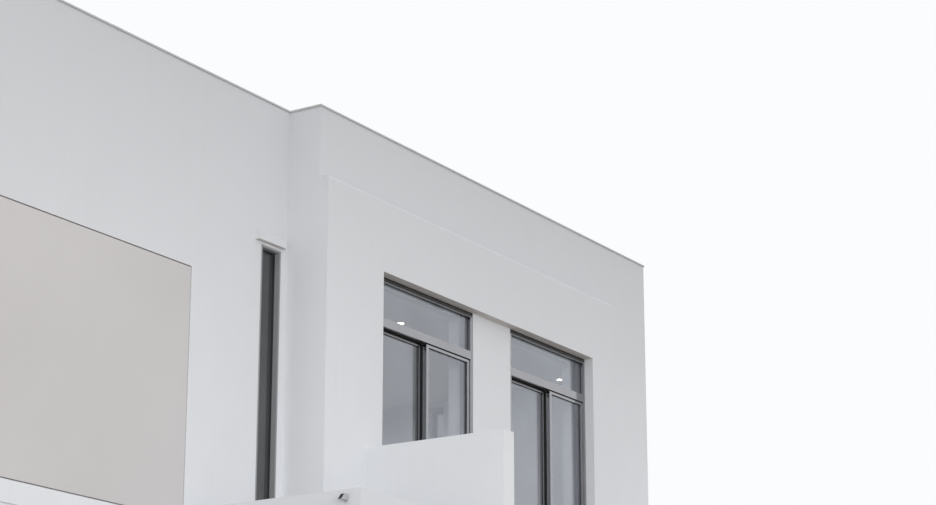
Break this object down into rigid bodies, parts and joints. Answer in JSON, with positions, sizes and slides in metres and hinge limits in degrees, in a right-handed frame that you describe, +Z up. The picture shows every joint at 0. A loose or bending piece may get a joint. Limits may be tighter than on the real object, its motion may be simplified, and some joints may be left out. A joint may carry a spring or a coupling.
{
  "type": "detached house",
  "caption": "Two-storey white rendered house with a flat roof behind parapets, a projecting front panel with recessed sliding windows and a low front terrace.",
  "frame": {"origin": "middle of the footprint's box, at ground level", "axes": "+X to the right along the front, +Y from the front into the house, +Z up"},
  "size_m": [11.598, 11.9, 7.68],
  "materials": {
    "render": "smooth painted render",
    "concrete": "trowelled concrete",
    "paving": "honed paving",
    "plaster": "matt painted plasterboard",
    "cladding": "smooth painted fibre-cement sheet",
    "roof_sheet": "coated steel roofing",
    "capping": "folded coated steel",
    "frame": "satin anodised",
    "sill": "satin anodised",
    "glass": "clear float glass",
    "door": "dark stained",
    "handle": "brushed",
    "light_body": "powder-coated",
    "lamp": "opal",
    "rainwater": "coated steel"
  },
  "bodies": {
    "root": {"ground_slab": "concrete", "ground_front_wall": "render", "ground_left_wall": "render", "ground_right_wall": "render", "ground_back_wall": "render", "porch_left_wall": "render", "porch_front_wall": "render", "porch_right_wall": "render", "upper_floor": "concrete", "terrace_slab": "paving", "left_facade": "render", "return_wall": "render", "right_facade": "render", "upper_left_wall": "render", "upper_right_wall": "render", "upper_back_wall": "render", "front_panel": "render", "window_piers": "render", "wing_walls": "render", "cladding_panel": "cladding", "window_hoods": "render", "ceiling": "plaster", "roof_deck": "roof_sheet", "roof_seams": "roof_sheet", "front_capping": "capping", "rear_capping": "capping", "upper_window_frames": "frame", "upper_window_sashes": "frame", "upper_window_glass": "glass", "ground_window_frames": "frame", "ground_window_sashes": "frame", "ground_window_glass": "glass", "rear_window_frames": "frame", "rear_window_sashes": "frame", "rear_window_glass": "glass", "window_sills": "sill", "slot_window_frames": "frame", "slot_window_glass": "glass", "door_frame": "frame", "entry_door": "door", "door_handle": "handle", "wall_light": "light_body", "downlights": "lamp", "rainheads": "rainwater", "downpipes": "rainwater"}
  },
  "joints": []
}
